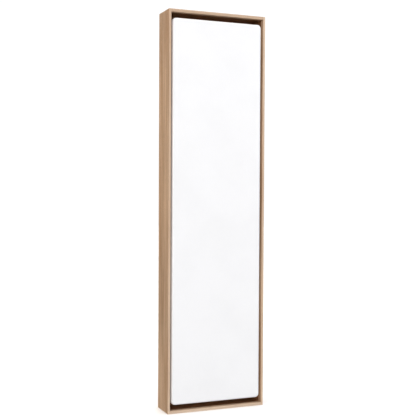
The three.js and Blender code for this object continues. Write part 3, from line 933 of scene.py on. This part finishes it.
def dress_stretcher():
    for seed, side in enumerate(SIDES):
        along = "z" if side in HANDS else "x"
        dress(f"stretcher_bar_{side}", pine(f"pine_{side}", along, seed + 5), 0.8 * MM)
        ply = birch_ply(f"birch_ply_{side}", "x" if side in HANDS else "z", seed + 11)
        for node in frame["nodes"]:
            if node.startswith(f"corner_key_{side}_bar_"):
                dress(node, ply, 0.25 * MM)
    dress("cross_brace", pine("pine_brace", "x", 9), 0.8 * MM)


# ---- stage ----
def floor():
    """A plain pale disc. Only the camera sees it, so its white doesn't light the wood."""
    radius, rings, columns = FLOOR["radius"], FLOOR["rings"], FLOOR["columns"]
    points = [(0.0, 0.0, 0.0)]
    for ring in range(1, rings + 1):
        reach = radius * ring / rings
        for column in range(columns):
            angle = 2 * math.pi * column / columns
            points.append((reach * math.cos(angle), reach * math.sin(angle), 0.0))
    faces = [(0, 1 + c, 1 + (c + 1) % columns) for c in range(columns)]
    faces += [tuple(1 + i for i in (a, d, c, b)) for a, b, c, d in grid_faces(rings, columns, closed=True)]
    mesh = bpy.data.meshes.new("floor")
    mesh.from_pydata(points, [], faces)
    finish = Finish("pale_floor", Specular_IOR_Level=0.1)
    speckle = finish.noise(finish.object_place(), 3.0, 2)
    finish.colour(finish.mix(speckle, (0.93, 0.93, 0.93, 1), (0.91, 0.91, 0.91, 1)))
    finish.roughness(0.9)
    mesh.materials.append(finish.material)
    obj = bpy.data.objects.new("floor", mesh)
    bpy.context.scene.collection.objects.link(obj)
    obj.location.z = cad_low.z - FLOOR["below"]
    obj.visible_diffuse = False
    obj.visible_glossy = False


def world():
    """Soft light, strongest from the front, the left and below, and a white backdrop for the camera."""
    made = bpy.data.worlds.new("studio")
    bpy.context.scene.world = made
    made.use_nodes = True
    nodes = Nodes(made.node_tree)
    x, y, z = nodes.split(nodes.node("TexCoord", {}, output="Generated"))
    strength = nodes.steps(y, -1.0, 1.0, AMBIENT["front"], AMBIENT["back"])
    strength = nodes.math("ADD", strength, nodes.steps(x, -1.0, 0.0, AMBIENT["left"], 0.0))
    strength = nodes.math("ADD", strength, nodes.steps(z, -1.0, 0.0, AMBIENT["below"], 0.0))
    colour = nodes.mix(nodes.steps(x, -1.0, 0.0), WARM, NEUTRAL)
    soft = nodes.node("Background", {"Color": colour, "Strength": strength})
    white = nodes.node("Background", {"Color": (1.0, 1.0, 1.0, 1.0), "Strength": BACKDROP})
    seen = nodes.node("LightPath", {}, output="Is Camera Ray")
    mixed = nodes.node("MixShader", {0: seen, 1: soft, 2: white})
    nodes.put(made.node_tree.nodes["World Output"].inputs["Surface"], mixed)


def lamp(name, kind, energy, place, target, **settings):
    data = bpy.data.lights.new(name, kind)
    data.energy = energy
    for key, value in settings.items():
        setattr(data, key, value)
    obj = bpy.data.objects.new(name, data)
    obj.location = place
    obj.rotation_euler = (Vector(target) - Vector(place)).to_track_quat("-Z", "Y").to_euler()
    bpy.context.scene.collection.objects.link(obj)


def camera():
    """Left of the front, at about the frame's mid height."""
    data = bpy.data.cameras.new("camera")
    data.lens = CAMERA["lens"]
    data.sensor_width = 36.0
    data.shift_x, data.shift_y = CAMERA["shift"]
    obj = bpy.data.objects.new("camera", data)
    azimuth = math.radians(CAMERA["azimuth"])
    away = Vector((-math.sin(azimuth), -math.cos(azimuth), 0)) * CAMERA["distance"]
    turn = Matrix.Rotation(-math.radians(CAMERA["turn"]), 4, "Z")
    tilt = Matrix.Rotation(math.radians(90 + CAMERA["tilt"]), 4, "X")
    roll = Matrix.Rotation(math.radians(CAMERA["roll"]), 4, "Z")
    obj.matrix_world = Matrix.Translation(away + Vector((0, 0, CAMERA["height"]))) @ turn @ tilt @ roll
    bpy.context.scene.collection.objects.link(obj)
    bpy.context.scene.camera = obj


def build():
    steel, black = zinc_steel(), rubber()
    cloth_sheet([primed_cotton(), raw_cotton()])
    staples(steel)
    dress_frame()
    dress_stretcher()
    canvas_screws = sorted(node for node in frame["nodes"] if node.startswith("canvas_screw_"))
    place_screws(canvas_screws, countersunk_screw(canvas_screws[0], steel), "_detailed")
    strap_screws = [f"hanger_screw_{hand}" for hand in HANDS]
    place_screws(strap_screws, pan_screw(strap_screws[0], steel), "_detailed")
    for hand in HANDS:
        hanger_strap(hand, steel)
        hanger_ring(hand, steel)
        wall_bumper(hand, black)
    for node in sorted(frame["nodes"]):
        if node.startswith("joint_fastener_"):
            joint_fastener(node, steel)


def studio():
    """The world, the floor, the lamps and the camera."""
    bpy.context.scene.view_settings.view_transform = "Standard"
    world()
    floor()
    for name, sun in LAMPS.items():
        lamp(name, "SUN", sun["energy"], sun["place"], sun["target"], angle=math.radians(sun["softness"]))
    window = HIGH_LEFT
    lamp("high_left", "AREA", window["energy"], window["place"], window["target"], size=window["size"],
         color=WARM[:3])
    camera()


build()
studio()
